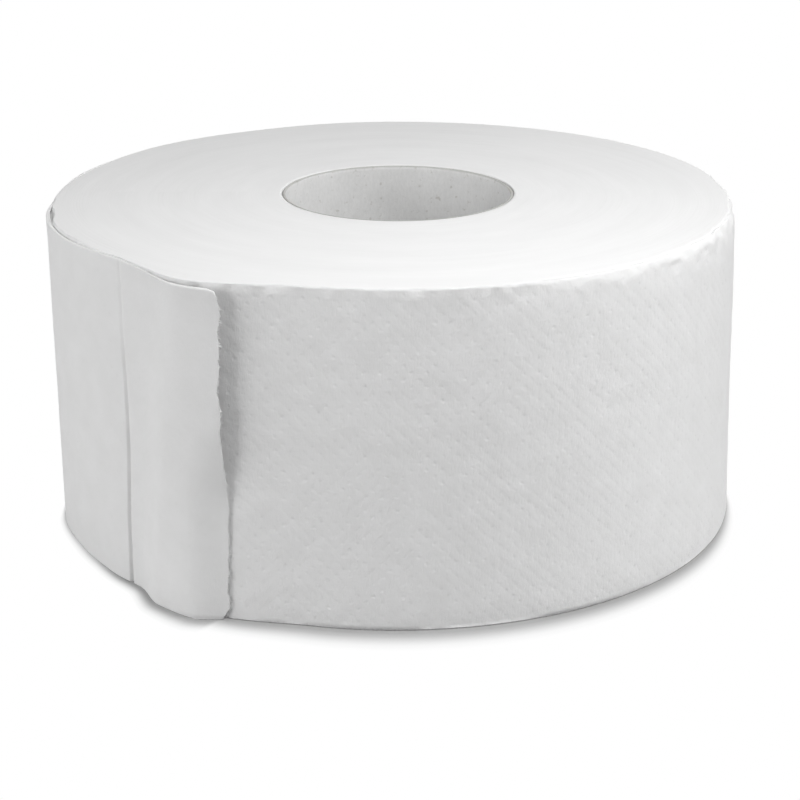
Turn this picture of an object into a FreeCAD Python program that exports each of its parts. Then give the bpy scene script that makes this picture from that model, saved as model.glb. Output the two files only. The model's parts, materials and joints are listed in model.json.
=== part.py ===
import FreeCAD, Part

import math
import os

# A large roll of toilet tissue standing on its end, in millimetres and degrees.
# The origin is on the roll's axis in the plane that it stands on, and +Z is up.
# Azimuths go anticlockwise from +X, seen from above, the way the web is wound outward.

# Core tube, which is cut to length together with the web wound on it
bore_radius = 30.0
core_wall = 1.0
core_fit = 0.1

# Tissue web and its winding
roll_radius = 90.0
web_width = 85.0
web_thickness = 0.4
drawn_turns = 9
turn_gap = 0.2

# Swelling of the wound body on the side where its outer turns are slack
slack_swell = 0.9
slack_azimuth = 210.0
slack_half_span = 60.0
buckle_height = 3.0
buckle_azimuth = 240.0
buckle_half_span = 17.0

# Outermost lap, from the azimuth where it leaves the body to its crease
lift_azimuth = 155.0
crease_azimuth = 224.0
lap_gap_bottom = 2.2
lap_gap_top = 1.8

# Free flap, from the crease to the torn end of the web
tear_azimuth = 245.0
flap_billow = 2.0
tear_lift = 2.6

# Torn edge: how far it wanders past its mean line, at even heights from bottom to top, and its soft corners
tear_wander = (-0.4, -0.1, 0.0, -0.5, -0.8, -1.0, -0.2, 0.2)
tear_corner_radius = 3.0

# Steps in which the curved outlines are worked out from their formulas
slack_arc_step = 17.0
buckle_arc_step = 4.5
round_arc_step = 45.0
lap_step = 6.0
flap_step = 3.0
lap_sections = 5


def direction(azimuth):
    """Unit vector in the floor plane that points to an azimuth."""
    angle = math.radians(azimuth)
    return FreeCAD.Vector(math.cos(angle), math.sin(angle), 0.0)


def at(radius, azimuth, height=0.0):
    """Point at a radius from the roll's axis."""
    return direction(azimuth) * radius + FreeCAD.Vector(0.0, 0.0, height)


def bump(azimuth, centre, half_span):
    """Smooth hump around the roll that is 1 at its centre and 0 from half_span onward."""
    distance = abs((azimuth - centre + 180.0) % 360.0 - 180.0) / half_span
    if distance >= 1.0:
        return 0.0
    return math.cos(0.5 * math.pi * distance) ** 2


def body_radius(azimuth):
    """Outer radius of the wound body, for azimuths from lift_azimuth round to one turn later.

    It grows by one web and one gap over the turn, because the web climbs on itself.
    """
    climb = (web_thickness + turn_gap) * (azimuth - lift_azimuth) / 360.0
    slack = slack_swell * bump(azimuth, slack_azimuth, slack_half_span)
    buckle = buckle_height * bump(azimuth, buckle_azimuth, buckle_half_span)
    return roll_radius + climb + slack + buckle


def evenly(start, end, step):
    """Values from start to end, no further apart than the step."""
    count = max(2, math.ceil((end - start) / step))
    return [start + (end - start) * i / count for i in range(count + 1)]


def curve_through(points):
    """Smooth edge through points."""
    curve = Part.BSplineCurve()
    curve.interpolate(points)
    return curve.toShape()


def line(start, end):
    return Part.LineSegment(start, end).toShape()


def body_arcs(start, end, step):
    """Arcs of the wound body's outer surface between two azimuths, each through three of its points."""
    ends = evenly(start, end, step)
    edges = []
    for first, last in zip(ends, ends[1:]):
        points = [at(body_radius(azimuth), azimuth) for azimuth in (first, (first + last) / 2, last)]
        edges.append(Part.Arc(*points).toShape())
    return edges


def spiral_arcs(start_radius, pitch, half_turns, grow, trim=0.0):
    """Edges of a spiral made of half circles, outward and anticlockwise from lift_azimuth.

    The centres lie in turn on either side of the axis, so each half circle runs smoothly into the next.
    Every radius is larger by grow, and the first arc starts later by the trim angle.
    """
    edges = []
    for k in range(half_turns):
        side = 1 if k % 2 == 0 else -1
        centre = direction(lift_azimuth) * (-side * pitch / 4)
        radius = start_radius + pitch / 4 + k * pitch / 2 + grow
        first = lift_azimuth + 180.0 * k + (trim if k == 0 else 0.0)
        last = lift_azimuth + 180.0 * (k + 1)
        points = [centre + at(radius, angle) for angle in (first, (first + last) / 2, last)]
        edges.append(Part.Arc(*points).toShape())
    return edges


def wound_body():
    """The coiled web up to where its last lap comes loose.

    A slot spirals from the web's leading end on the core out to the mouth under the loose lap.
    """
    seat_radius = bore_radius + core_wall + core_fit
    start_radius = seat_radius + web_thickness
    mouth_radius = body_radius(lift_azimuth)
    pitch = (mouth_radius - start_radius) / drawn_turns
    half_turns = 2 * drawn_turns
    lead_trim = math.degrees(turn_gap / seat_radius)

    inner_rail = spiral_arcs(start_radius, pitch, half_turns, 0.0, lead_trim)
    outer_rail = spiral_arcs(start_radius, pitch, half_turns, turn_gap)
    lead_on_core = at(seat_radius, lift_azimuth + lead_trim)
    lead_on_web = inner_rail[0].valueAt(inner_rail[0].FirstParameter)
    step_on_core = at(seat_radius, lift_azimuth)
    step_on_web = at(start_radius + turn_gap, lift_azimuth)
    seat = Part.Arc(lead_on_core, at(seat_radius, lift_azimuth + 180.0), step_on_core).toShape()

    buckle_start = buckle_azimuth - buckle_half_span
    buckle_end = buckle_azimuth + buckle_half_span
    surface = body_arcs(lift_azimuth, buckle_start, slack_arc_step)
    surface += body_arcs(buckle_start, buckle_end, buckle_arc_step)
    surface += body_arcs(buckle_end, lift_azimuth + 360.0, round_arc_step)
    end_outer = at(body_radius(lift_azimuth + 360.0), lift_azimuth)
    end_inner = at(mouth_radius + turn_gap, lift_azimuth)

    edges = [line(lead_on_core, lead_on_web)]
    edges += inner_rail + surface
    edges += [line(end_outer, end_inner)]
    edges += outer_rail
    edges += [line(step_on_web, step_on_core), seat]
    outline = Part.Wire(Part.sortEdges(edges)[0])
    return Part.Face(outline).extrude(FreeCAD.Vector(0.0, 0.0, web_width))


def lap_standoff(azimuth, height):
    """Gap between the wound body and the inner face of the loose lap or flap."""
    rise = height / web_width
    if azimuth <= crease_azimuth:
        along = (azimuth - lift_azimuth) / (crease_azimuth - lift_azimuth)
        loose = lap_gap_bottom + (lap_gap_top - lap_gap_bottom) * rise
        return turn_gap + loose * math.sin(math.pi * along) ** 2
    along = (azimuth - crease_azimuth) / (tear_azimuth - crease_azimuth)
    billow = flap_billow * math.sin(math.pi * min(along, 1.0))
    lift = tear_lift * math.sin(0.5 * math.pi * rise) ** 2
    return turn_gap + billow + lift * along


def lap_section(height):
    """Closed outline of the loose web at one height, from the mouth of the slot past the torn edge."""
    spans = (
        evenly(lift_azimuth, crease_azimuth, lap_step),
        evenly(crease_azimuth, tear_azimuth + flap_step, flap_step),
    )
    faces = []
    for thickness in (0.0, web_thickness):
        for azimuths in spans:
            points = []
            for azimuth in azimuths:
                radius = body_radius(azimuth) + lap_standoff(azimuth, height) + thickness
                points.append(at(radius, azimuth, height))
            faces.append(points)
    lap_inner, flap_inner, lap_outer, flap_outer = faces
    edges = [
        curve_through(lap_outer),
        curve_through(flap_outer),
        line(flap_outer[-1], flap_inner[-1]),
        curve_through(flap_inner[::-1]),
        curve_through(lap_inner[::-1]),
        line(lap_inner[0], lap_outer[0]),
    ]
    return Part.Wire(edges)


def tear_waste():
    """Block of everything past the torn edge of the web, along the direction that faces the tear."""
    outward = direction(tear_azimuth)
    onward = direction(tear_azimuth + 90.0)
    reach = roll_radius / 2

    def point(wander, height):
        return outward * (roll_radius - reach / 2) + onward * wander + FreeCAD.Vector(0.0, 0.0, height)

    tear_top = tear_wander[-1]
    tear_bottom = tear_wander[0]
    spacing = web_width / (len(tear_wander) + 1)
    corner = tear_corner_radius
    bulge = corner * (1.0 - math.sqrt(0.5))
    top_corner = Part.Arc(
        point(tear_top - corner, web_width),
        point(tear_top - bulge, web_width - bulge),
        point(tear_top, web_width - corner),
    ).toShape()
    bottom_corner = Part.Arc(
        point(tear_bottom, corner),
        point(tear_bottom - bulge, bulge),
        point(tear_bottom - corner, 0.0),
    ).toShape()
    wander = [point(tear_bottom, corner)]
    wander += [point(offset, spacing * (i + 1)) for i, offset in enumerate(tear_wander)]
    wander += [point(tear_top, web_width - corner)]
    edges = [
        top_corner,
        curve_through(wander[::-1]),
        bottom_corner,
        line(point(tear_bottom - corner, 0.0), point(reach, 0.0)),
        line(point(reach, 0.0), point(reach, web_width)),
        line(point(reach, web_width), point(tear_top - corner, web_width)),
    ]
    return Part.Face(Part.Wire(edges)).extrude(outward * reach)


def loose_lap():
    """The outermost lap with its crease, its billowed flap and its torn edge."""
    heights = [web_width * i / (lap_sections - 1) for i in range(lap_sections)]
    sheet = Part.makeLoft([lap_section(height) for height in heights], True, False)
    return sheet.cut(tear_waste())


def tissue_roll():
    return wound_body().fuse(loose_lap()).removeSplitter()


def core_tube():
    outside = Part.makeCylinder(bore_radius + core_wall, web_width)
    return outside.cut(Part.makeCylinder(bore_radius, web_width))


nodes = {
    "core_tube": core_tube(),
    "tissue_roll": tissue_roll(),
}

os.makedirs("parts", exist_ok=True)
for name, shape in nodes.items():
    shape.exportStep("parts/" + name + ".step")
    print(name, "solids", len(shape.Solids), "valid", shape.isValid(), "volume", round(shape.Volume, 1))
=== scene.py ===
import json
import math

import bpy
import numpy as np
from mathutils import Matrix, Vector


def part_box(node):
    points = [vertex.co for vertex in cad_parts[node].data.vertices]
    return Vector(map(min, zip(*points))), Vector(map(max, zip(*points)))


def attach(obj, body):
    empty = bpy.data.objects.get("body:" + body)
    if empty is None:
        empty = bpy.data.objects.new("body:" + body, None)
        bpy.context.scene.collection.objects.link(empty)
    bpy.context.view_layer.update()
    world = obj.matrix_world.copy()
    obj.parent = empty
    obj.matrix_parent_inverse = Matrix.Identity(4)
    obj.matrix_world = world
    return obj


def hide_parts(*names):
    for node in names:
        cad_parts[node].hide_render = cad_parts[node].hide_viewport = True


# A large roll of toilet tissue standing on its end: the wound body, its outermost turn, the loose lap
# that ends in a torn edge, and the cardboard core. Lengths are in metres and azimuths in degrees,
# anticlockwise from +X as seen from above. A drop is a distance below the upper end. A half span is
# how far to either side of its azimuth a feature reaches, and an ease is the span that it fades over.

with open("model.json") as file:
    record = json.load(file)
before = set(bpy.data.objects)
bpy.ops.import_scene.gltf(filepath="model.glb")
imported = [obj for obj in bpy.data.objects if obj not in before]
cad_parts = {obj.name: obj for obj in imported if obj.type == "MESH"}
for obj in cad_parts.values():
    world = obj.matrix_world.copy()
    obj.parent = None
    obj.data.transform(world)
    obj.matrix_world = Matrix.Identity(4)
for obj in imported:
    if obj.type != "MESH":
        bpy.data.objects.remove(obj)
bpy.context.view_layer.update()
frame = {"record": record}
tissue_low, tissue_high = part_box("tissue_roll")
core_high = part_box("core_tube")[1]
bore = next(mount for mount in frame["record"]["mounts"] if mount["name"] == "core_bore")

# Winding
web_width = tissue_high.z - tissue_low.z
roll_radius = 0.0900
web_thickness = 0.0004
turn_gap = 0.0002
skin_gap = 0.00003

# Rounded rims: the upper one is soft at the front right, sharper elsewhere and crisp at the flap,
# and the outermost turn curls over both up to rim_angle
sharp_rim_inset = 0.0004
sharp_rim_drop = 0.0008
soft_rim_inset = 0.0014
soft_rim_drop = 0.0030
soft_rim_azimuth = 333.0
soft_rim_half_span = 50.0
soft_rim_ease = 20.0
crisp_rim_share = 0.4
crisp_rim_azimuth = 227.0
crisp_rim_half_span = 24.0
crisp_rim_ease = 6.0
foot_rim_inset = 0.0003
foot_rim_drop = 0.0004
rim_angle = 60.0
rim_rows = 5

# Core, its worn ends, and the groove and step along the seam of its wound strip
bore_radius = bore["dims"]["r_mm"] * 0.001
core_radius = core_high.x
core_height = core_high.z
core_fit = 0.0001
core_columns = 256
core_rows = 120
core_worn = 0.0004
core_edge_shares = (0.18, 0.45, 0.62)
core_edge_drops = (0.00015, 0.00003, 0.00006)
core_outer_drop = 0.0006
core_grain = 0.00002
core_fray = 0.00008
seam_pitch = 0.105
seam_groove = 0.00012
seam_groove_half_width = 0.0005
seam_step = 0.00006
seam_step_rise = 0.002
seam_step_fade = 0.01

# Swelling where the outer turns are slack
slack_swell = 0.0009
slack_azimuth = 210.0
slack_half_span = 60.0
buckle_height = 0.0030
buckle_azimuth = 240.0
buckle_half_span = 17.0

# Right-hand side, which leans inward towards the top and is crumpled along its rim in waves:
# the strength of each, how many go round the roll, how they slant and their phase
lean = 0.0013
lean_azimuth = -5.0
lean_half_span = 75.0
crumple_inset = 0.0007
crumple_drop = 0.0090
crumple_azimuth = -20.0
crumple_half_span = 70.0
crumple_waves = (
    (0.50, 23.0, 5.0, 0.0),
    (0.35, 41.0, 0.0, 1.3),
    (0.30, 73.0, -4.0, 0.0),
    (0.25, 109.0, 0.0, 0.4),
)

# Dips of the wall at the back, deepest at the top: depth, azimuth and half span
dips = ((0.0015, 121.0, 24.0), (0.0009, 154.0, 28.0))

# Upper edge of the slack turns: how far it splays out to the lap, by azimuth
splay = (
    (176.0, 0.0), (186.0, 0.0009), (190.0, 0.0016), (194.0, 0.0021), (198.0, 0.0022),
    (205.0, 0.0020), (214.0, 0.0014), (225.0, 0.0012), (231.5, 0.0014), (235.0, 0.0022),
    (238.0, 0.0025), (242.0, 0.0023), (246.0, 0.0012), (253.0, 0.0),
)
splay_drop = 0.030
lap_clearance = 0.0002
lap_clearance_reach = 3.0

# Groove that is left in the upper edge at the lap's lip
lip_groove_depth = 0.0018
lip_groove_drop = 0.0022
lip_groove_floor = 0.0017
lip_groove_ease = 0.0004
lip_groove_azimuth = 194.0
lip_groove_half_span = 8.0

# Loose lap: it stands off from the body, less so at the foot between the two azimuths given
lift_azimuth = 155.0
loose_gap = 0.0019
loose_azimuth = 203.0
loose_half_span = 36.0
foot_hug = 0.5
foot_hug_height = 0.012
foot_hug_start = 193.0
foot_hug_start_ease = 14.0
foot_hug_end = 214.0
foot_hug_end_ease = 8.0
unroll_span = 10.0

# Upper edge of the lap: its gap to the body by azimuth, and its inward folds by share, azimuth and half span
lip_gaps = (
    (155.0, 0.0002), (176.0, 0.0002), (182.0, 0.00025), (186.0, 0.0004), (192.0, 0.0017),
    (198.0, 0.0024), (205.0, 0.0020), (214.0, 0.0014), (225.0, 0.0012), (231.5, 0.0015),
    (235.0, 0.0026), (238.0, 0.0036), (250.0, 0.0036),
)
lip_drop = 0.0120
lip_fold = 0.0007
lip_fold_drop = 0.0018
lip_folds = ((1.0, 196.0, 14.0), (0.5, 211.0, 10.0))
lap_top_drop = 0.0009
lap_top_ease = 20.0
lap_top_level_share = 0.8
lap_top_level_azimuth = 223.0
lap_top_level_half_span = 15.0

# Crease: a valley with a wide flank on the lap's side, its depth by height, and its wander in degrees
crease_azimuth = 224.0
crease_wander = (-0.4, -0.2, 0.5, 0.65, 0.4, 0.65)
valley_depths = ((0.0, 0.00105), (0.030, 0.00092), (0.056, 0.00056), (0.068, 0.00028), (0.085, 0.00020))
valley_lap_side = 0.65
valley_flap_side = 0.45

# Flap: it bends outward past the crease and its lower end curls back to the body
flap_standoff = 0.0030
flap_bend_foot = 225.5
flap_bend_top = 232.0
flap_bend_span = 7.0
curl_azimuth = 239.0
curl_height = 0.028
open_height = 0.050

# Torn edge: its wander past the mean line at even heights, its rounded corners and its ragged tips
tear_azimuth = 245.0
tear_wander = (-0.0010, -0.0009, -0.0003, -0.0001, -0.0003, -0.0005, -0.0002, 0.0002)
tear_corner_run = 0.0036
tear_corner_top = 0.0024
foot_corner_run = 0.0016
foot_corner_rise = 0.0050
foot_slant = 0.0003
tear_stretch_share = 0.15
tear_tips = (-0.00020, 0.00016)
tear_waves = 0.00032
tear_thin_span = 0.8
tear_thinning = 0.55

# Fibres that stand out of the torn edge, of which every nib_step-th is a wide nib
fibre_count = 320
fibre_length = 0.0009
fibre_shortest = 0.25
fibre_widths = (0.00008, 0.00020)
fibre_lean_up = 0.5
fibre_lean_out = 0.25
fibre_root_depth = 0.00015
fibre_root_half = 0.00004
fibre_foot_margin = 0.003
fibre_top_margin = 0.0015
nib_step = 20
nib_width_factor = 2.5

# Embossed dots, whose spacing is four mesh steps both ways
dots_around = 160
dots_up = 24
dot_steps = 4
dot_depth = 0.00011
dot_flank = 0.4
faintest_dot = 0.08
lap_calm = 0.3

# Unevenness of the web: broad waves and a finer mottle
broad_depth = 0.00016
mottle_depth = 0.00007

# Small dents below the upper rim and the fringe of its edge, strongest at the front right
crinkle_depth = 0.00030
crinkle_drop = 0.010
crinkle_azimuth = 325.0
crinkle_half_span = 60.0
crinkle_elsewhere = 0.25
fringe_depth = 0.00016
fringe_azimuth = 320.0
fringe_elsewhere = 0.35

# End faces: fine turns that climb by their lead over one turn of the roll, and broad waves
end_columns = 400
end_rings = 84
fine_turn_pitch = 0.0011
fine_turn_lead = 0.0012
fine_turn_depth = 0.00003
fine_turn_knots = 400
end_wave_depth = 0.00012
end_fade_share = 0.03
bore_tuck = 0.0006

# Rows of the wound body that the outermost turn hides, and the angles of its rims under and past that turn
hidden_drops = (0.042, 0.034, 0.027, 0.021, 0.016, 0.012, 0.009, 0.0065, 0.0045, 0.0032)
under_angles = (0.0, 8.0, 16.0, 30.0, 45.0, rim_angle)
over_angles = (rim_angle + 1.0, 68.0, 78.0)

# Floor: its shares of open floor, from 0 for the darkest to 1 for no shadow, under the bore and at
# the foot behind the roll, and the width of the shadow in front of the roll and beside it. This is a
# painted shadow in the floor's colour, laid over the real shadow of the lamps
floor_level = -0.0001
floor_columns = 360
floor_reach = 4.0
open_in_bore = 0.20
open_behind = 0.40
floor_bore_radius = 0.045
shadow_width_front = 0.0103
shadow_width_side = 0.0004
shadow_steps = np.concatenate([np.linspace(0.0, 1.0, 25), [1.3, 3.0, 12.0]])

# Studio: lamps with their place, side and power, and a camera fitted to the roll's outline in an
# image of 800 by 800 pixels
lamps = {
    "near_key": ((0.10, -0.20, 0.40), 0.25, 1.25),
    "right_fill": ((1.08, -0.20, 0.45), 0.9, 6.2),
    "left_fill": ((-1.03, -0.38, 0.22), 0.7, 8.3),
    "back_top": ((0.18, 0.26, 0.55), 0.4, 0.45),
}
lamp_target = Vector((0.0, 0.0, 0.05))
world_light = 0.0
camera_lens = 86.08
camera_sensor = 36.0
camera_place = Vector((0.000556, -0.49984, 0.20847))
camera_target = Vector((0.000556, 0.0, 0.02558))

# Mesh steps that the outermost turn and the lap share
turn_columns = dots_around * dot_steps
lap_columns = int(round(turn_columns * (tear_azimuth - lift_azimuth) / 360.0))
all_columns = turn_columns + lap_columns
wall_rows = dots_up * dot_steps
wall_heights = np.linspace(foot_rim_drop, web_width - soft_rim_drop, wall_rows + 1)
rim_steps = np.radians(np.linspace(0.0, rim_angle, rim_rows + 1)[1:])


def smoothstep(values):
    share = np.clip(values, 0.0, 1.0)
    return share * share * (3.0 - 2.0 * share)


def below_top(height, drop):
    """Share that grows from 0 at a drop below the upper end to 1 at that end."""
    return np.clip(1.0 - (web_width - height) / drop, 0.0, 1.0)


def away_from(azimuth, centre):
    """Angle between azimuths, the shorter way round."""
    return np.abs((azimuth - centre + 180.0) % 360.0 - 180.0)


def bump(azimuth, centre, half_span):
    """Smooth hump around the roll that is 1 at its centre and 0 from half_span onward."""
    distance = away_from(azimuth, centre) / half_span
    return np.where(distance < 1.0, np.cos(0.5 * np.pi * np.minimum(distance, 1.0)) ** 2, 0.0)


def eased(azimuth, profile):
    """Values between places along the roll, rounded over the corners."""
    places, values = zip(*profile)
    shifts = (-1.5, -0.75, 0.0, 0.75, 1.5)
    return sum(np.interp(azimuth + shift, places, values) for shift in shifts) / len(shifts)


def soft_noise(rows, columns, row_cells, column_cells, seed, periodic=False):
    """Smooth noise from -1 to 1 on a grid, made from random values at the corners of coarse cells."""
    rng = np.random.default_rng(seed)
    coarse = rng.uniform(-1.0, 1.0, (row_cells + 2, column_cells + 1))
    if periodic:
        coarse[:, -1] = coarse[:, 0]
    row_at = np.linspace(0.0, row_cells, rows)
    column_at = np.linspace(0.0, column_cells, columns)
    row_low = np.minimum(row_at.astype(int), row_cells)
    column_low = np.minimum(column_at.astype(int), column_cells - 1)
    row_share = smoothstep(row_at - row_low)[:, None]
    column_share = smoothstep(column_at - column_low)[None, :]

    def across(row):
        return coarse[row][:, column_low] * (1 - column_share) + coarse[row][:, column_low + 1] * column_share

    return across(row_low) * (1 - row_share) + across(row_low + 1) * row_share


def place(radius, azimuth, height):
    """Array of points from radii, azimuths and heights of one shape."""
    angle = np.radians(azimuth)
    return np.stack([radius * np.cos(angle), radius * np.sin(angle), height], axis=-1)


def make_piece(name, points, faces, material):
    mesh = bpy.data.meshes.new(name)
    mesh.from_pydata(np.asarray(points).reshape(-1, 3).tolist(), [], faces)
    mesh.polygons.foreach_set("use_smooth", [True] * len(mesh.polygons))
    mesh.materials.append(material)
    mesh.update()
    piece = bpy.data.objects.new(name, mesh)
    bpy.context.scene.collection.objects.link(piece)
    return piece


def add_shade(piece, name, values):
    """Store one number for each point of the piece, which its material reads."""
    layer = piece.data.attributes.new(name, "FLOAT", "POINT")
    layer.data.foreach_set("value", np.asarray(values, dtype=float).ravel())


def grid_faces(columns, rows, closed_columns=False, closed_rows=False):
    """Quads of a grid whose points are stored column by column."""
    faces = []
    for i in range(columns if closed_columns else columns - 1):
        first = i * rows
        second = ((i + 1) % columns) * rows
        for j in range(rows if closed_rows else rows - 1):
            k = (j + 1) % rows
            faces.append((first + j, second + j, second + k, first + k))
    return faces


def body_radius(azimuth):
    """Outer radius of the body from lift_azimuth round to one turn later, as it climbs on itself."""
    climb = (web_thickness + turn_gap) * (azimuth - lift_azimuth) / 360.0
    slack = slack_swell * bump(azimuth, slack_azimuth, slack_half_span)
    buckle = buckle_height * bump(azimuth, buckle_azimuth, buckle_half_span)
    return roll_radius + climb + slack + buckle


def leaned(azimuth, height):
    """Change of the roll's radius with height: the lean and crumpled rim at the right, and the dips."""
    from_top = below_top(height, crumple_drop)
    angle = np.radians(azimuth)
    waves = sum(share * np.sin(count * angle + slant * from_top + phase)
                for share, count, slant, phase in crumple_waves)
    crumple = crumple_inset * (1.0 + 0.5 * waves) * bump(azimuth, crumple_azimuth, crumple_half_span)
    dip = sum(depth * bump(azimuth, centre, half_span) for depth, centre, half_span in dips)
    side = bump(azimuth, lean_azimuth, lean_half_span) * lean * (1.0 - 2.0 * height / web_width)
    return side - crumple * from_top**1.5 - dip * smoothstep(height / web_width)


def lap_standoff(azimuth, height):
    """Gap between the outer turn and the inner face of the loose lap or flap."""
    hug = foot_hug * (1.0 - smoothstep(height / foot_hug_height))
    hug = hug * smoothstep((azimuth - foot_hug_start) / foot_hug_start_ease)
    hug = hug * (1.0 - smoothstep((azimuth - foot_hug_end) / foot_hug_end_ease))
    wall_gap = loose_gap * bump(azimuth, loose_azimuth, loose_half_span) * (1.0 - hug)
    bend_azimuth = flap_bend_foot + (flap_bend_top - flap_bend_foot) * height / web_width
    flap = flap_standoff * smoothstep((azimuth - bend_azimuth) / flap_bend_span)
    curl = smoothstep((azimuth - curl_azimuth) / (tear_azimuth - curl_azimuth))
    curl = curl * (1.0 - smoothstep((height - curl_height) / (open_height - curl_height)))
    wall = turn_gap + wall_gap + flap * (1.0 - curl)
    lip = below_top(height, lip_drop) ** 2
    return wall * (1.0 - lip) + eased(azimuth, lip_gaps) * lip


def lap_fold(azimuth, height):
    """How far the lap's lip is folded inward at its upper edge."""
    fold = sum(share * bump(azimuth, centre, half_span) for share, centre, half_span in lip_folds)
    return lip_fold * fold * below_top(height + lap_top_drop, lip_fold_drop)


def crease_valley(azimuth, height):
    """Depth of the crease, as far as the gap behind it allows."""
    wander = np.interp(height / web_width, np.linspace(0.0, 1.0, len(crease_wander)), crease_wander)
    line = crease_azimuth + wander
    reach = np.where(azimuth < line, valley_lap_side, valley_flap_side)
    heights, depths = zip(*valley_depths)
    valley = np.interp(height, heights, depths) * (1.0 - smoothstep(np.abs(azimuth - line) / reach))
    return np.minimum(valley, lap_standoff(azimuth, height) - 0.5 * turn_gap)


def shaped(azimuth, height):
    """Change of the body's radius with height, which also splays out at the top as far as the lap lets it."""
    turned = (azimuth - lift_azimuth) % 360.0 + lift_azimuth
    outward = eased(turned, splay) * below_top(height, splay_drop) ** 2
    groove = lip_groove_depth * bump(azimuth, lip_groove_azimuth, lip_groove_half_span)
    outward = outward - groove * smoothstep((height - web_width + lip_groove_floor) / lip_groove_ease)
    free = lap_standoff(turned, height) - lap_fold(turned, height)
    free = free - crease_valley(turned, height) - lap_clearance
    under_lap = turned < tear_azimuth + lap_clearance_reach
    outward = np.where(under_lap, np.minimum(outward, np.maximum(free, 0.0)), outward)
    return leaned(azimuth, height) + outward


def emboss_field(columns):
    """Depth of the embossed dots on a grid of columns and wall rows, each dot a little different."""
    rng = np.random.default_rng(11)
    field = np.zeros((columns + 1, wall_rows + 1))
    neighbours = ((0, 0, 1.0), (1, 0, dot_flank), (-1, 0, dot_flank), (0, 1, dot_flank), (0, -1, dot_flank))
    for shift in (0, dot_steps // 2):
        across = np.arange(shift, columns + 1, dot_steps)
        up = np.arange(shift, wall_rows + 1, dot_steps)
        depth = faintest_dot + (1.0 - faintest_dot) * rng.uniform(0.0, 1.0, (len(across), len(up))) ** 4
        for step_across, step_up, share in neighbours:
            to_column = across + step_across
            to_row = up + step_up
            in_column = (to_column >= 0) & (to_column <= columns)
            in_row = (to_row >= 0) & (to_row <= wall_rows)
            block = np.ix_(to_column[in_column], to_row[in_row])
            field[block] = np.maximum(field[block], share * depth[np.ix_(in_column, in_row)])
    return field


def web_relief():
    """How far the outer face of the web lies inside its formula radius, over the outer turn and the lap."""
    rows = wall_rows + 1
    broad = soft_noise(rows, all_columns + 1, 4, 28, seed=3).T * broad_depth
    mottle = soft_noise(rows, all_columns + 1, 24, 200, seed=5).T * mottle_depth
    return broad + mottle + dots * dot_depth


dots = emboss_field(all_columns)
relief = web_relief()


def rim_crinkle(azimuth):
    """Small dents of the wall and its rim near the crumpled upper edge, as columns over the azimuth."""
    rows = wall_rows + 1 + rim_rows
    fade = np.concatenate([smoothstep(below_top(wall_heights, crinkle_drop)),
                           np.cos(0.5 * np.pi * rim_steps / rim_steps[-1])])
    dents = soft_noise(rows, len(azimuth), 40, 250, seed=7, periodic=True).T
    dents = dents + 0.6 * soft_noise(rows, len(azimuth), 60, 400, seed=9, periodic=True).T
    strength = bump(azimuth, crinkle_azimuth, crinkle_half_span)[:, None]
    strength = crinkle_elsewhere + (1.0 - crinkle_elsewhere) * strength
    return crinkle_depth * dents * fade[None, :] * strength


def top_rim(azimuth):
    """Inset and drop of the rounded upper rim, as columns over the azimuth."""
    soft = smoothstep((soft_rim_half_span - away_from(azimuth, soft_rim_azimuth)) / soft_rim_ease)
    crisp = smoothstep((crisp_rim_half_span - np.abs(azimuth - crisp_rim_azimuth)) / crisp_rim_ease)
    crisp = 1.0 - (1.0 - crisp_rim_share) * crisp
    groove = bump(azimuth, lip_groove_azimuth, lip_groove_half_span)
    inset = sharp_rim_inset * crisp + (soft_rim_inset - sharp_rim_inset) * soft
    drop = sharp_rim_drop * crisp + (soft_rim_drop - sharp_rim_drop) * soft + lip_groove_drop * groove
    return inset[:, None], drop[:, None]


def rim_profile(azimuth, angles, inner=0.0):
    """Inset and height along the curled edges of a layer that lies inner below the surface, foot and top."""
    inset, drop = top_rim(azimuth)
    count = (len(azimuth), 1)
    foot_r = np.tile((foot_rim_inset - inner) * np.cos(angles[::-1]) - foot_rim_inset, count)
    foot_z = np.tile(foot_rim_drop - (foot_rim_drop - inner) * np.sin(angles[::-1]), count)
    top_r = (inset - inner) * np.cos(angles) - inset
    top_z = web_width - drop + (drop - inner) * np.sin(angles)
    return foot_r, foot_z, top_r, top_z


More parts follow.
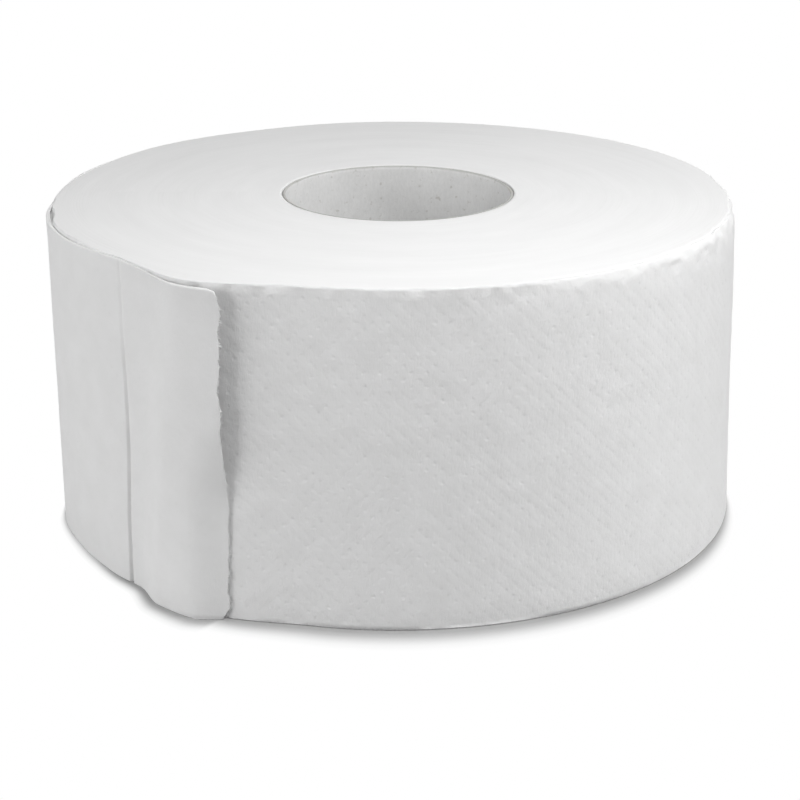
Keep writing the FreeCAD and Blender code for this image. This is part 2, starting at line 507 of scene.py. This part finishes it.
def outer_turn(material):
    """The outermost turn, a thin layer whose upper and lower edges curl over the rims."""
    columns = turn_columns + 1
    azimuth = lift_azimuth + np.arange(columns) * 360.0 / turn_columns
    wall = np.broadcast_to(wall_heights, (columns, wall_rows + 1))

    fringe = soft_noise(2, columns, 1, 150, seed=21, periodic=True)[0] * fringe_depth
    fringe = fringe * (fringe_elsewhere + bump(azimuth, fringe_azimuth, crinkle_half_span))
    dents = rim_crinkle(azimuth)
    foot_r, foot_z, top_r, top_z = rim_profile(azimuth, rim_steps)
    top_r = top_r + fringe[:, None] * np.sin(rim_steps)[None, :] - dents[:, wall_rows + 1:]
    sunk = np.minimum(relief[:columns] + dents[:, :wall_rows + 1], web_thickness)
    outer_inset = np.hstack([foot_r, -sunk, top_r])
    outer_z = np.hstack([foot_z, wall, top_z])

    edge_angles = np.radians([0.0, rim_angle / 2, rim_angle])
    foot_r, foot_z, top_r, top_z = rim_profile(azimuth, edge_angles, web_thickness)
    middle = (wall_rows * 3 // 4, wall_rows // 2, wall_rows // 4)
    inner_inset = np.hstack([top_r[:, ::-1], np.full((columns, 3), -web_thickness), foot_r[:, ::-1]])
    inner_z = np.hstack([top_z[:, ::-1], wall[:, middle], foot_z[:, ::-1]])

    heights = np.hstack([outer_z, inner_z])
    azimuths = np.broadcast_to(azimuth[:, None], heights.shape)
    radii = body_radius(azimuths) + shaped(azimuths, heights) + np.hstack([outer_inset, inner_inset])
    loop = radii.shape[1]
    faces = grid_faces(columns, loop, closed_rows=True)
    faces.append(tuple(range(loop)))
    faces.append(tuple(turn_columns * loop + i for i in reversed(range(loop))))
    piece = make_piece("outer_turn", place(radii, azimuths, heights), faces, material)
    # Depth of each embossed dot, which the material turns into painted shade in the dots
    pit_shades = np.zeros(radii.shape)
    pit_shades[:, rim_rows:rim_rows + wall_rows + 1] = dots[:columns]
    add_shade(piece, "pit_shade", pit_shades)
    add_shade(piece, "emboss", np.ones(pit_shades.shape))
    return piece


def lap_shares():
    """Places along the lap as shares of its length, closer together at the crease and the torn edge."""
    span = tear_azimuth - lift_azimuth
    even = np.arange(lap_columns + 1) / lap_columns
    crease_start = (crease_azimuth - 2.2 - lift_azimuth) / span
    crease_end = (crease_azimuth + 1.6 - lift_azimuth) / span
    near_crease = np.linspace(crease_start, crease_end, 33)
    near_tear = 1.0 - np.array([0.001, 0.0025, 0.005, 0.008])
    closest = 0.001
    even = even[(even < crease_start - closest) | (even > crease_end + closest)]
    even = even[(even < near_tear.min() - closest) | (even == 1.0)]
    return np.sort(np.concatenate([even, near_crease, near_tear]))


def lap_heights():
    """Heights of the lap's rows before its upper edge is lowered."""
    share = np.arange(1, rim_rows + 1) / rim_rows
    foot = foot_rim_drop * (1.0 - share[::-1])
    top = wall_heights[-1] + (web_width - 0.00005 - wall_heights[-1]) * share
    return np.concatenate([foot, wall_heights, top])


def torn_end(straight_z):
    """How far each row ends past the mean line of the tear: its wander, rounded corners and ragged tips."""
    rows = len(straight_z)
    tips = np.random.default_rng(31).uniform(*tear_tips, rows)
    tips += soft_noise(2, rows, 1, 24, seed=33)[0] * tear_waves
    height = straight_z * (web_width - lap_top_drop) / web_width
    spots = np.linspace(0.0, web_width, len(tear_wander) + 2)
    wander = np.interp(height, spots[1:-1], tear_wander)
    wander = wander - foot_slant * np.clip(1.0 - height / spots[1], 0.0, 1.0)
    from_top = below_top(height + lap_top_drop, tear_corner_top)
    from_foot = np.clip(1.0 - height / foot_corner_rise, 0.0, 1.0)
    wander = wander - tear_corner_run * (1.0 - np.sqrt(1.0 - from_top**2))
    return wander - foot_corner_run * (1.0 - np.sqrt(1.0 - from_foot**2)) + tips


def torn_fibres(edge_azimuth, edge_radius, edge_height):
    """Points of the short fibres that stand out of the torn edge: three at each one's root and its tip."""
    rng = np.random.default_rng(37)
    height = rng.uniform(edge_height[0] + fibre_foot_margin, edge_height[-1] - fibre_top_margin, fibre_count)
    azimuth = np.interp(height, edge_height, edge_azimuth)
    radius = np.interp(height, edge_height, edge_radius)
    share = fibre_shortest + (1.0 - fibre_shortest) * rng.uniform(0.0, 1.0, fibre_count) ** 2
    length = fibre_length * share
    width = rng.uniform(*fibre_widths, fibre_count)
    lean_up = rng.uniform(-fibre_lean_up, fibre_lean_up, fibre_count) * length
    lean_out = rng.uniform(-fibre_lean_out, fibre_lean_out, fibre_count) * length
    width = np.where(np.arange(fibre_count) % nib_step == 0, nib_width_factor * width, width)
    root = azimuth - np.degrees(fibre_root_depth / radius)
    corners = [
        place(radius + fibre_root_half, root, height - width),
        place(radius + fibre_root_half, root, height + width),
        place(radius - fibre_root_half, root, height),
        place(radius + lean_out, azimuth + np.degrees(length / radius), height + lean_up),
    ]
    return np.stack(corners, axis=1).reshape(-1, 3)


def loose_lap(material):
    """The outermost lap: it leaves the body, is creased, billows and ends in a torn edge."""
    share = lap_shares()
    columns = len(share)
    straight_z = lap_heights()
    rows = len(straight_z)
    span = tear_azimuth - lift_azimuth
    end_span = span + np.degrees(torn_end(straight_z) / roll_radius)
    near_end = np.clip((share[:, None] - 1.0 + tear_stretch_share) / tear_stretch_share, 0.0, 1.0)
    turned = share[:, None] * span * (1.0 + near_end * (end_span[None, :] / span - 1.0))
    azimuth = lift_azimuth + turned

    unroll = smoothstep(turned / unroll_span)
    level = lap_top_level_share * bump(azimuth, lap_top_level_azimuth, lap_top_level_half_span)
    lowering = lap_top_drop * (1.0 - level) / web_width * smoothstep((turned - unroll_span) / lap_top_ease)
    heights = straight_z[None, :] * (1.0 - lowering)
    foot_r, foot_z, top_r, top_z = rim_profile(lift_azimuth + turned[:, 0], rim_steps)
    curled_r = np.hstack([foot_r, np.zeros((columns, wall_rows + 1)), top_r]) * (1.0 - unroll)
    curled_z = np.hstack([foot_z, heights[:, rim_rows:-rim_rows], top_z])
    z = heights * unroll + curled_z * (1.0 - unroll)

    along = np.arange(lap_columns + 1)
    sunk = np.zeros(azimuth.shape)
    # Depth of each embossed dot, which the material turns into painted shade in the dots
    pit_shades = np.zeros(azimuth.shape)
    for row in range(wall_rows + 1):
        sunk[:, rim_rows + row] = np.interp(share * lap_columns, along, relief[turn_columns:, row])
        pit_shades[:, rim_rows + row] = np.interp(share * lap_columns, along, dots[turn_columns:, row])
    calm = 1.0 - (1.0 - lap_calm) * unroll

    inner_r = body_radius(azimuth) + leaned(azimuth, heights) + curled_r - sunk * calm
    inner_r = inner_r + lap_standoff(azimuth, heights) - crease_valley(azimuth, heights)
    torn = np.clip((azimuth - tear_azimuth + tear_thin_span) / tear_thin_span, 0.0, 1.0)
    thickness = web_thickness * (1.0 - tear_thinning * torn)
    inner = place(inner_r - lap_fold(azimuth, heights), azimuth, z)
    points = np.concatenate([place(inner_r + thickness, azimuth, z), inner[:, ::-1]], axis=1)
    loop = points.shape[1]
    faces = grid_faces(columns, loop, closed_rows=True)
    last = (columns - 1) * loop
    for i in range(rows - 1):
        faces.append((i, i + 1, loop - 2 - i, loop - 1 - i))
        faces.append((last + i, last + loop - 1 - i, last + loop - 2 - i, last + i + 1))

    fibres = torn_fibres(azimuth[-1], inner_r[-1] + 0.5 * thickness[-1], heights[-1])
    for start in range(columns * loop, columns * loop + len(fibres), 4):
        a, b, c, tip = range(start, start + 4)
        faces += [(a, b, tip), (b, c, tip), (c, a, tip), (a, c, b)]
    points = np.concatenate([points.reshape(-1, 3), fibres])
    piece = make_piece("loose_lap", points, faces, material)
    plain = np.zeros(pit_shades.shape)
    bare = np.zeros(len(fibres))
    add_shade(piece, "pit_shade", np.concatenate([np.hstack([pit_shades, plain]).ravel(), bare]))
    add_shade(piece, "emboss", np.concatenate([np.hstack([calm, plain]).ravel(), bare]))
    return piece


def end_face(azimuth, inset, bore_wall, seed):
    """Ring radii of an end face from the rim to the bore, and how far each of its points lies inside."""
    share = np.linspace(0.0, 1.0, end_rings + 1)
    ring = (body_radius(azimuth)[:, None] - inset) * (1.0 - share)[None, :] + bore_wall * share[None, :]
    lead = fine_turn_lead * (azimuth - lift_azimuth)[:, None] / 360.0
    along = (ring - lead) / fine_turn_pitch + seed
    low = np.floor(along).astype(int)
    blend = smoothstep(along - low)
    knots = np.random.default_rng(41).uniform(-1.0, 1.0, fine_turn_knots)
    turns = knots[low % fine_turn_knots] * (1.0 - blend) + knots[(low + 1) % fine_turn_knots] * blend
    waves = soft_noise(end_rings + 1, end_columns, 6, 14, seed, periodic=True).T
    fade = smoothstep(np.minimum(share, 1.0 - share)[None, :] / end_fade_share)
    return ring, (fine_turn_depth * turns * (0.6 + 0.4 * waves) + end_wave_depth * waves) * fade


def wound_body(material):
    """The turns inside the outermost one: two end faces with their fine turns, and both walls."""
    azimuth = lift_azimuth + np.arange(end_columns) * 360.0 / end_columns
    outside = body_radius(azimuth)[:, None]
    bore_wall = core_radius + core_fit
    top_ring, top_relief = end_face(azimuth, top_rim(azimuth)[0], bore_wall, seed=51)
    foot_ring, foot_relief = end_face(azimuth, foot_rim_inset, bore_wall, seed=77)
    layer = web_thickness + skin_gap
    hidden = rim_profile(azimuth, np.radians(under_angles), layer)
    shown = rim_profile(azimuth, np.radians(over_angles))
    behind = np.broadcast_to(web_width - np.array(hidden_drops), (end_columns, len(hidden_drops)))
    lead_in = np.full((end_columns, 1), bore_wall)
    tuck = np.full((end_columns, 1), bore_tuck)
    profile = (
        (outside + shown[0], shown[1]),
        (outside + hidden[0], hidden[1]),
        (outside - layer + 0.0 * behind, behind),
        (outside + hidden[2], hidden[3]),
        (outside + shown[2], shown[3]),
        (top_ring, web_width - np.abs(top_relief)),
        (lead_in, web_width - tuck),
        (lead_in, tuck),
        (foot_ring[:, ::-1], np.abs(foot_relief[:, ::-1])),
    )
    radii, heights = (np.hstack(parts) for parts in zip(*profile))
    azimuths = np.broadcast_to(azimuth[:, None], radii.shape)
    outward = np.clip((radii - bore_wall) / (roll_radius - bore_wall), 0.0, 1.0)
    radii = radii + shaped(azimuths, heights) * outward
    faces = grid_faces(end_columns, radii.shape[1], closed_columns=True, closed_rows=True)
    return make_piece("wound_body", place(radii, azimuths, heights), faces, material)


def core_tube(material):
    """The cardboard core with the helical seam of its wound strip and worn cut ends."""
    azimuth = np.arange(core_columns) * 360.0 / core_columns
    z = np.linspace(core_worn, core_height - core_worn, core_rows + 1)
    seam = seam_pitch * azimuth[:, None] / 360.0
    from_seam = (z[None, :] - seam + 0.5 * seam_pitch) % seam_pitch - 0.5 * seam_pitch
    groove = seam_groove * np.exp(-((from_seam / seam_groove_half_width) ** 2))
    step = seam_step * smoothstep(0.5 + from_seam / seam_step_rise)
    step = step * smoothstep((0.5 * seam_pitch - from_seam) / seam_step_fade)
    grain = soft_noise(core_rows + 1, core_columns, 40, 90, seed=61, periodic=True).T * core_grain
    inner_r = bore_radius + groove + step + grain
    frayed = soft_noise(2, core_columns, 1, 60, seed=63, periodic=True)[0][:, None] * core_fray
    edge_r = bore_radius + np.array(core_edge_shares) * (core_radius - bore_radius) + frayed
    edge_drop = np.array(core_edge_drops)
    outer_r = np.full((core_columns, 2), core_radius)
    outer_z = [core_height - core_outer_drop, core_outer_drop]
    radii = np.hstack([inner_r, edge_r, outer_r, edge_r[:, ::-1]])
    profile_z = np.concatenate([z, core_height - edge_drop, outer_z, edge_drop[::-1]])
    heights = np.broadcast_to(profile_z, radii.shape)
    points = place(radii, np.broadcast_to(azimuth[:, None], radii.shape), heights)
    faces = grid_faces(core_columns, radii.shape[1], closed_columns=True, closed_rows=True)
    return make_piece("core", points, [face[::-1] for face in faces], material)


def new_material(name):
    material = bpy.data.materials.new(name)
    material.use_nodes = True
    tree = material.node_tree
    return material, tree, tree.nodes["Principled BSDF"]


def node(tree, kind, **settings):
    made = tree.nodes.new(kind)
    for key, value in settings.items():
        setattr(made, key, value)
    return made


def math_node(tree, operation, first, second=None):
    made = node(tree, "ShaderNodeMath", operation=operation)
    for slot, value in enumerate((first, second)):
        if value is None:
            continue
        if isinstance(value, (int, float)):
            made.inputs[slot].default_value = value
        else:
            tree.links.new(value, made.inputs[slot])
    return made.outputs[0]


def weighted(tree, *terms):
    """Sum of values times their weights."""
    total = None
    for value, weight in terms:
        term = math_node(tree, "MULTIPLY", value, weight)
        total = term if total is None else math_node(tree, "ADD", total, term)
    return total


def noise_node(tree, vector, scale, detail, roughness):
    made = node(tree, "ShaderNodeTexNoise")
    made.inputs["Scale"].default_value = scale
    made.inputs["Detail"].default_value = detail
    made.inputs["Roughness"].default_value = roughness
    tree.links.new(vector, made.inputs["Vector"])
    return made.outputs["Fac"]


def stretched(tree, vector, upward):
    """Position with its height scaled."""
    made = node(tree, "ShaderNodeMapping")
    made.inputs["Scale"].default_value = (1.0, 1.0, upward)
    tree.links.new(vector, made.inputs["Vector"])
    return made.outputs["Vector"]


def joined(tree, x, y):
    """Vector from two values."""
    made = node(tree, "ShaderNodeCombineXYZ")
    tree.links.new(x, made.inputs["X"])
    tree.links.new(y, made.inputs["Y"])
    return made.outputs[0]


def split(tree, vector):
    made = node(tree, "ShaderNodeSeparateXYZ")
    tree.links.new(vector, made.inputs[0])
    return made.outputs


def attribute(tree, name):
    return node(tree, "ShaderNodeAttribute", attribute_name=name).outputs["Fac"]


def half_wave(tree, phase):
    """Cosine wave from 0 to 1."""
    wave = math_node(tree, "COSINE", phase)
    return math_node(tree, "ADD", math_node(tree, "MULTIPLY", wave, 0.5), 0.5)


def clamped(tree, value, low, high):
    """Share that grows from 0 at low to 1 at high."""
    made = node(tree, "ShaderNodeMapRange")
    made.inputs["From Min"].default_value = low
    made.inputs["From Max"].default_value = high
    tree.links.new(value, made.inputs["Value"])
    return made.outputs["Result"]


def between(tree, share, low, high):
    """Value that goes from low to high as the share goes from 0 to 1."""
    made = node(tree, "ShaderNodeMapRange")
    made.inputs["To Min"].default_value = low
    made.inputs["To Max"].default_value = high
    tree.links.new(share, made.inputs["Value"])
    return made.outputs["Result"]


def ramp_node(tree, fac, stops):
    """Colour ramp through stops, each a position and a colour or a grey."""
    made = node(tree, "ShaderNodeValToRGB")
    ramp = made.color_ramp
    while len(ramp.elements) < len(stops):
        ramp.elements.new(0.5)
    for element, (position, color) in zip(ramp.elements, stops):
        element.position = position
        element.color = (*color, 1.0) if isinstance(color, tuple) else (color, color, color, 1.0)
    tree.links.new(fac, made.inputs["Fac"])
    return made.outputs["Color"]


def blended(tree, kind, share, first, second):
    """First value or colour where the share is 0, and second where it is 1."""
    made = node(tree, "ShaderNodeMix", data_type=kind)
    tree.links.new(share, made.inputs["Factor"])
    tree.links.new(first, made.inputs["A"])
    tree.links.new(second, made.inputs["B"])
    return made.outputs["Result"]


def multiplied(tree, first, second):
    """Product of two colours."""
    made = node(tree, "ShaderNodeMix", data_type="RGBA", blend_type="MULTIPLY")
    made.inputs["Factor"].default_value = 1.0
    tree.links.new(first, made.inputs["A"])
    tree.links.new(second, made.inputs["B"])
    return made.outputs["Result"]


def finish_shader(tree, shader, color, height, bump_strength, bump_distance, roughness):
    """Connect a matt paper's colour, relief and roughness."""
    bump_node = node(tree, "ShaderNodeBump")
    bump_node.inputs["Strength"].default_value = bump_strength
    bump_node.inputs["Distance"].default_value = bump_distance
    tree.links.new(height, bump_node.inputs["Height"])
    tree.links.new(bump_node.outputs["Normal"], shader.inputs["Normal"])
    tree.links.new(color, shader.inputs["Base Color"])
    tree.links.new(roughness, shader.inputs["Roughness"])
    shader.inputs["Specular IOR Level"].default_value = 0.2


def emboss_pattern(tree, position, angle, z):
    """Shares of the lattice of dots, the dots that show, their slanting runs and the embossing's strength."""
    wobble = math_node(tree, "MULTIPLY", noise_node(tree, position, 95.0, 2.0, 0.5), 2.4)
    start = math.radians(lift_azimuth) * dots_around + 1.2
    around = math_node(tree, "SUBTRACT", math_node(tree, "MULTIPLY", angle, float(dots_around)), start)
    around = math_node(tree, "ADD", around, wobble)
    row_pitch = (web_width - soft_rim_drop - foot_rim_drop) / dots_up
    upward = math_node(tree, "SUBTRACT", z, foot_rim_drop)
    upward = math_node(tree, "MULTIPLY", upward, 2.0 * math.pi / row_pitch)
    falling = half_wave(tree, math_node(tree, "ADD", around, upward))
    rising = half_wave(tree, math_node(tree, "SUBTRACT", around, upward))
    lattice = math_node(tree, "POWER", math_node(tree, "MULTIPLY", falling, rising), 3.0)

    patches = noise_node(tree, position, 260.0, 2.0, 0.5)
    wide_patches = noise_node(tree, position, 60.0, 2.0, 0.5)
    falling_patches = math_node(tree, "MULTIPLY", clamped(tree, wide_patches, 0.40, 0.60),
                                clamped(tree, patches, 0.62, 0.40))
    rising_patches = math_node(tree, "MULTIPLY", clamped(tree, wide_patches, 0.44, 0.34),
                               clamped(tree, patches, 0.58, 0.42))
    falling_runs = math_node(tree, "MULTIPLY", math_node(tree, "POWER", falling, 2.0), falling_patches)
    rising_runs = math_node(tree, "MULTIPLY", math_node(tree, "POWER", rising, 2.0), rising_patches)

    emboss = attribute(tree, "emboss")
    shown_dots = math_node(tree, "MULTIPLY", lattice, clamped(tree, patches, 0.38, 0.70))
    shown_dots = math_node(tree, "MULTIPLY", shown_dots, emboss)
    runs = math_node(tree, "MULTIPLY", math_node(tree, "ADD", falling_runs, rising_runs), emboss)
    return lattice, shown_dots, runs, emboss


def tissue_material():
    """White two-ply tissue: creped, fibrous and embossed on its face with painted shade in its dots, and with
    fine turns on its cut ends.
    """
    material, tree, shader = new_material("tissue_paper")
    position = node(tree, "ShaderNodeTexCoord").outputs["Object"]
    x, y, z = split(tree, position)
    squares = math_node(tree, "ADD", math_node(tree, "MULTIPLY", x, x), math_node(tree, "MULTIPLY", y, y))
    radius = math_node(tree, "SQRT", squares)
    angle = math_node(tree, "ARCTAN2", y, x)
    facing = split(tree, node(tree, "ShaderNodeNewGeometry").outputs["Normal"])
    end_mask = math_node(tree, "POWER", math_node(tree, "ABSOLUTE", facing["Z"]), 6.0)

    lattice, shown_dots, runs, emboss = emboss_pattern(tree, position, angle, z)
    crepe = noise_node(tree, stretched(tree, position, 0.22), 2600.0, 3.0, 0.65)
    fibres = noise_node(tree, stretched(tree, position, 0.8), 900.0, 6.0, 0.7)
    mottle = noise_node(tree, position, 130.0, 4.0, 0.55)
    crinkle = noise_node(tree, position, 420.0, 3.0, 0.55)
    crinkled = math_node(tree, "ADD", math_node(tree, "MULTIPLY", emboss, 0.7), 0.3)
    crinkle = math_node(tree, "MULTIPLY", crinkled, crinkle)
    sunk = weighted(tree, (shown_dots, 0.8), (runs, 0.2), (crinkle, 1.2))
    wall_height = math_node(tree, "SUBTRACT", weighted(tree, (crepe, 0.5), (fibres, 0.9)), sunk)

    # Painted shade: the embossed dots, and faintly their slanting runs, are darkened in the colour as if
    # shade fell in them
    pit_shade = math_node(tree, "MULTIPLY", math_node(tree, "POWER", attribute(tree, "pit_shade"), 1.5), lattice)
    pit_shade = math_node(tree, "MULTIPLY", pit_shade, emboss)
    dot_and_run_shade = weighted(tree, (pit_shade, 0.8), (runs, 0.08))
    mottled = ramp_node(tree, mottle, ((0.3, (0.85, 0.85, 0.848)), (0.7, 0.88)))
    wall_tone = multiplied(tree, mottled, ramp_node(tree, dot_and_run_shade, ((0.0, 1.0), (1.0, 0.86))))

    lead = math_node(tree, "MULTIPLY", angle, 0.0006 / math.pi)
    spiral = math_node(tree, "SUBTRACT", radius, lead)
    turn_vector = joined(tree, spiral, math_node(tree, "MULTIPLY", angle, 0.0004))
    streak_vector = joined(tree, spiral, math_node(tree, "MULTIPLY", angle, 0.012))
    turns = noise_node(tree, turn_vector, 2600.0, 3.0, 0.7)
    bands = noise_node(tree, turn_vector, 260.0, 3.0, 0.6)
    streaks = noise_node(tree, streak_vector, 140.0, 3.0, 0.6)
    end_height = weighted(tree, (turns, 0.4), (bands, 0.4))
    fine_turns = ramp_node(tree, turns, ((0.3, (0.855, 0.855, 0.853)), (0.6, 0.88)))
    end_tone = multiplied(tree, fine_turns, ramp_node(tree, streaks, ((0.3, 0.965), (0.7, 1.0))))

    color = blended(tree, "RGBA", end_mask, wall_tone, end_tone)
    height = blended(tree, "FLOAT", end_mask, wall_height, end_height)
    finish_shader(tree, shader, color, height, 0.4, 0.00025, between(tree, fibres, 0.88, 1.0))
    shader.inputs["Sheen Weight"].default_value = 0.08
    shader.inputs["Sheen Roughness"].default_value = 0.6
    return material


def cardboard_material():
    """Grey recycled board with fine fibres and specks, and painted shade on its cut ends for the dark gap
    between core and tissue.
    """
    material, tree, shader = new_material("core_cardboard")
    position = node(tree, "ShaderNodeTexCoord").outputs["Object"]
    fibres = noise_node(tree, stretched(tree, position, 0.5), 1400.0, 5.0, 0.7)
    specks = noise_node(tree, position, 700.0, 2.0, 0.5)
    clouds = noise_node(tree, position, 90.0, 3.0, 0.5)
    facing = split(tree, node(tree, "ShaderNodeNewGeometry").outputs["Normal"])
    cut = math_node(tree, "ABSOLUTE", facing["Z"])
    color = ramp_node(tree, fibres, ((0.25, (0.75, 0.75, 0.745)), (0.75, (0.85, 0.85, 0.845))))
    color = multiplied(tree, color, ramp_node(tree, specks, ((0.25, (0.80, 0.79, 0.77)), (0.36, 1.0))))
    color = multiplied(tree, color, ramp_node(tree, clouds, ((0.3, 0.94), (0.7, 1.0))))
    # Painted shade: the cut ends are darkened in the colour, for the dark gap between core and tissue
    color = multiplied(tree, color, ramp_node(tree, cut, ((0.15, 1.0), (0.5, (0.62, 0.615, 0.60)))))
    finish_shader(tree, shader, color, fibres, 0.3, 0.0002, between(tree, fibres, 0.8, 0.98))
    return material


def white_to_viewer(tree):
    """1 for rays that should see the plain white background, and 0 for light on the object."""
    path = node(tree, "ShaderNodeLightPath")
    seen = math_node(tree, "MAXIMUM", path.outputs["Is Camera Ray"], path.outputs["Is Glossy Ray"])
    return math_node(tree, "MAXIMUM", seen, path.outputs["Is Transmission Ray"])


def floor_material():
    """Pale floor with painted shadow at the roll's foot, laid over the real shadow, and white to the viewer
    where nothing shades it.
    """
    material = bpy.data.materials.new("floor")
    material.use_nodes = True
    tree = material.node_tree
    tree.nodes.clear()
    open_share = attribute(tree, "open")
    diffuse = node(tree, "ShaderNodeBsdfDiffuse")
    # Painted shadow: the floor's own colour is darker towards the roll's foot
    tree.links.new(ramp_node(tree, open_share, ((0.0, 0.34), (1.0, 0.56))), diffuse.inputs["Color"])
    white = node(tree, "ShaderNodeEmission")
    white.inputs["Color"].default_value = (1.0, 1.0, 1.0, 1.0)
    white.inputs["Strength"].default_value = 1.0
    # Painted shadow: the share of plain white that the viewer sees, by the open share at each point
    fade = ramp_node(tree, open_share, (
        (0.0, 0.13), (0.12, 0.08), (0.31, 0.22), (0.44, 0.41), (0.62, 0.68), (0.75, 0.85), (1.0, 1.0),
    ))
    mixed = node(tree, "ShaderNodeMixShader")
    tree.links.new(math_node(tree, "MULTIPLY", fade, white_to_viewer(tree)), mixed.inputs[0])
    tree.links.new(diffuse.outputs[0], mixed.inputs[1])
    tree.links.new(white.outputs[0], mixed.inputs[2])
    output = node(tree, "ShaderNodeOutputMaterial")
    tree.links.new(mixed.outputs[0], output.inputs["Surface"])
    return material


def foot_outline(azimuth):
    """Radius of the roll's outline on the floor, with the lap and its flap."""
    turned = (azimuth - lift_azimuth) % 360.0
    outline = body_radius(lift_azimuth + turned) + shaped(azimuth, 0.0)
    on_lap = turned < tear_azimuth - lift_azimuth - 2.0
    lap = lap_standoff(lift_azimuth + turned, 0.0 * azimuth) + web_thickness
    return np.where(on_lap, outline + lap, outline)


def add_floor():
    """Floor in rings round the roll's foot, each with its share of open floor from 0 to 1, which sets the
    painted shadow.
    """
    azimuth = np.arange(floor_columns) * 360.0 / floor_columns
    # Width of the painted shadow round the foot, widest in front, and its share of open floor at the foot
    ahead = np.maximum(-np.sin(np.radians(azimuth)), 0.0)
    leftward = smoothstep((262.0 - azimuth) / 50.0)
    frontal = np.where(azimuth > 270.0, ahead**1.1, ahead**0.9 * smoothstep((ahead - 0.08) / 0.2))
    frontal = frontal * (1.0 - 0.55 * leftward)
    width = shadow_width_side + (shadow_width_front - shadow_width_side) * frontal
    behind = smoothstep((228.0 - azimuth) / 22.0) + smoothstep((azimuth - 325.0) / 35.0)
    at_foot = open_behind * behind
    outline = foot_outline(azimuth)
    in_bore = np.full(floor_columns, open_in_bore)
    rings = [
        (np.full(floor_columns, 0.00001), in_bore),
        (np.full(floor_columns, floor_bore_radius), in_bore),
        (outline - 0.02, at_foot),
    ]
    for step in shadow_steps:
        rings.append((outline + width * step, at_foot + (1.0 - at_foot) * min(step, 1.0)))
    rings.append((np.full(floor_columns, floor_reach), np.ones(floor_columns)))
    radii, open_shares = (np.stack(parts, axis=1) for parts in zip(*rings))
    azimuths = np.broadcast_to(azimuth[:, None], radii.shape)
    points = place(radii, azimuths, np.full(radii.shape, floor_level))
    faces = [face[::-1] for face in grid_faces(floor_columns, radii.shape[1], closed_columns=True)]
    floor = make_piece("floor", points, faces, floor_material())
    add_shade(floor, "open", open_shares)


def set_world():
    """World that the viewer sees as white and that adds no light of its own to the object."""
    world = bpy.data.worlds.new("studio")
    bpy.context.scene.world = world
    world.use_nodes = True
    tree = world.node_tree
    background = tree.nodes["Background"]
    background.inputs["Color"].default_value = (1.0, 1.0, 1.0, 1.0)
    level = between(tree, white_to_viewer(tree), world_light, 1.0)
    tree.links.new(level, background.inputs["Strength"])


def aimed(location, target):
    """Rotation of a lamp or camera at a location so that it looks at the target."""
    return (target - location).to_track_quat("-Z", "Y").to_euler()


def add_softbox(name, location, side, power):
    light = bpy.data.lights.new(name, "AREA")
    light.shape = "RECTANGLE"
    light.size = side
    light.size_y = side
    light.energy = power
    lamp = bpy.data.objects.new(name, light)
    lamp.location = location
    lamp.rotation_euler = aimed(Vector(location), lamp_target)
    bpy.context.scene.collection.objects.link(lamp)


def add_camera():
    data = bpy.data.cameras.new("camera")
    data.lens = camera_lens
    data.sensor_width = camera_sensor
    camera = bpy.data.objects.new("camera", data)
    camera.location = camera_place
    camera.rotation_euler = aimed(camera_place, camera_target)
    bpy.context.scene.collection.objects.link(camera)
    bpy.context.scene.camera = camera


tissue = tissue_material()
cardboard = cardboard_material()
lap = loose_lap(tissue)
for piece in (wound_body(tissue), outer_turn(tissue), lap):
    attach(piece, "root")
    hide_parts("tissue_roll")
core = core_tube(cardboard)
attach(core, "root")
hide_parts("core_tube")

add_floor()
set_world()
for name, (location, side, power) in lamps.items():
    add_softbox(name, location, side, power)
add_camera()
bpy.context.scene.view_settings.view_transform = "Standard"
